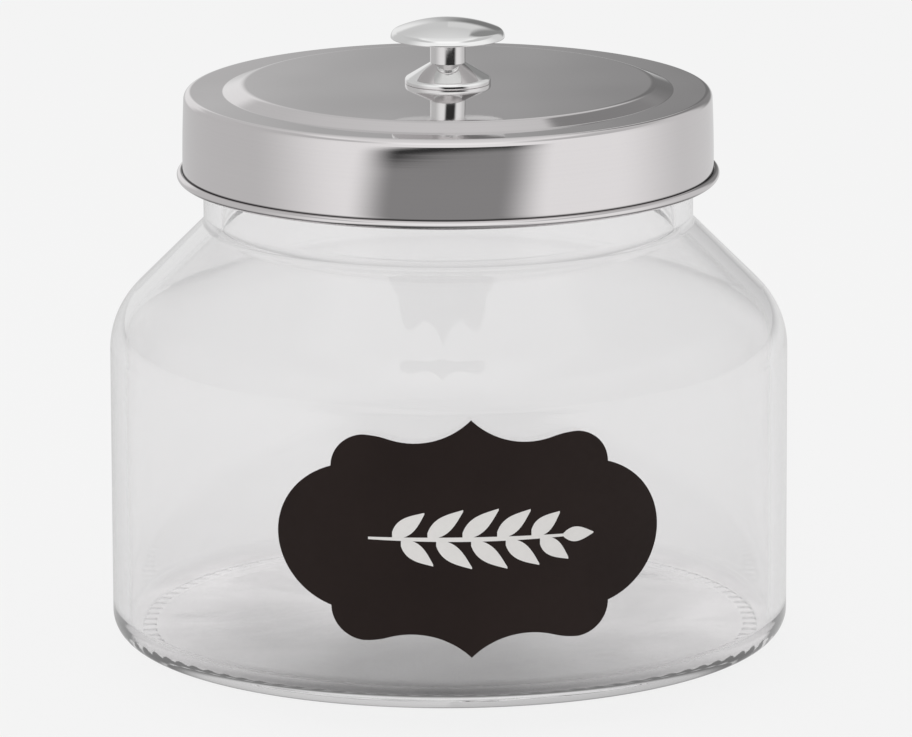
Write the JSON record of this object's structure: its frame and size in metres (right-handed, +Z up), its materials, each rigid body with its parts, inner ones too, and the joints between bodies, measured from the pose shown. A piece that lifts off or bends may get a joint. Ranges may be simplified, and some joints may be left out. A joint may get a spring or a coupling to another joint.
{
  "type": "spice jar",
  "caption": "Wide glass canister with a sloped shoulder and a bracket-shaped label, closed by a push-on stamped steel lid with a seal ring and a domed chrome knob.",
  "frame": {"origin": "centre of the base, on the plane that the jar's bearing ring stands on", "axes": "+Z up along the jar's axis, -Y towards the front, where the label is, +X to the viewer's right"},
  "size_m": [0.13, 0.1302, 0.1198],
  "materials": {
    "glass": "clear, fire-polished",
    "label_film": "satin film",
    "seal_silicone": "milky, matt",
    "lid_steel": "polished satin",
    "knob_chrome": "mirror bright",
    "fastener_steel": "bright zinc"
  },
  "bodies": {
    "jar": {"glass_jar": "glass", "label": "label_film"},
    "seal": {"seal_ring": "seal_silicone"},
    "lid": {"lid_shell": "lid_steel", "knob_base": "knob_chrome", "knob": "knob_chrome", "screw_washer": "fastener_steel", "knob_screw": "fastener_steel"}
  },
  "joints": [
    {"name": "lid_lift", "type": "slide", "parent": "jar", "child": "seal", "axis": [0, 0, 1], "range_m": [0, 0.06]},
    {"name": "lid_turn", "type": "hinge", "parent": "seal", "child": "lid", "pos_m": [0, 0, 0.1], "axis": [0, 0, 1], "continuous": true}
  ]
}
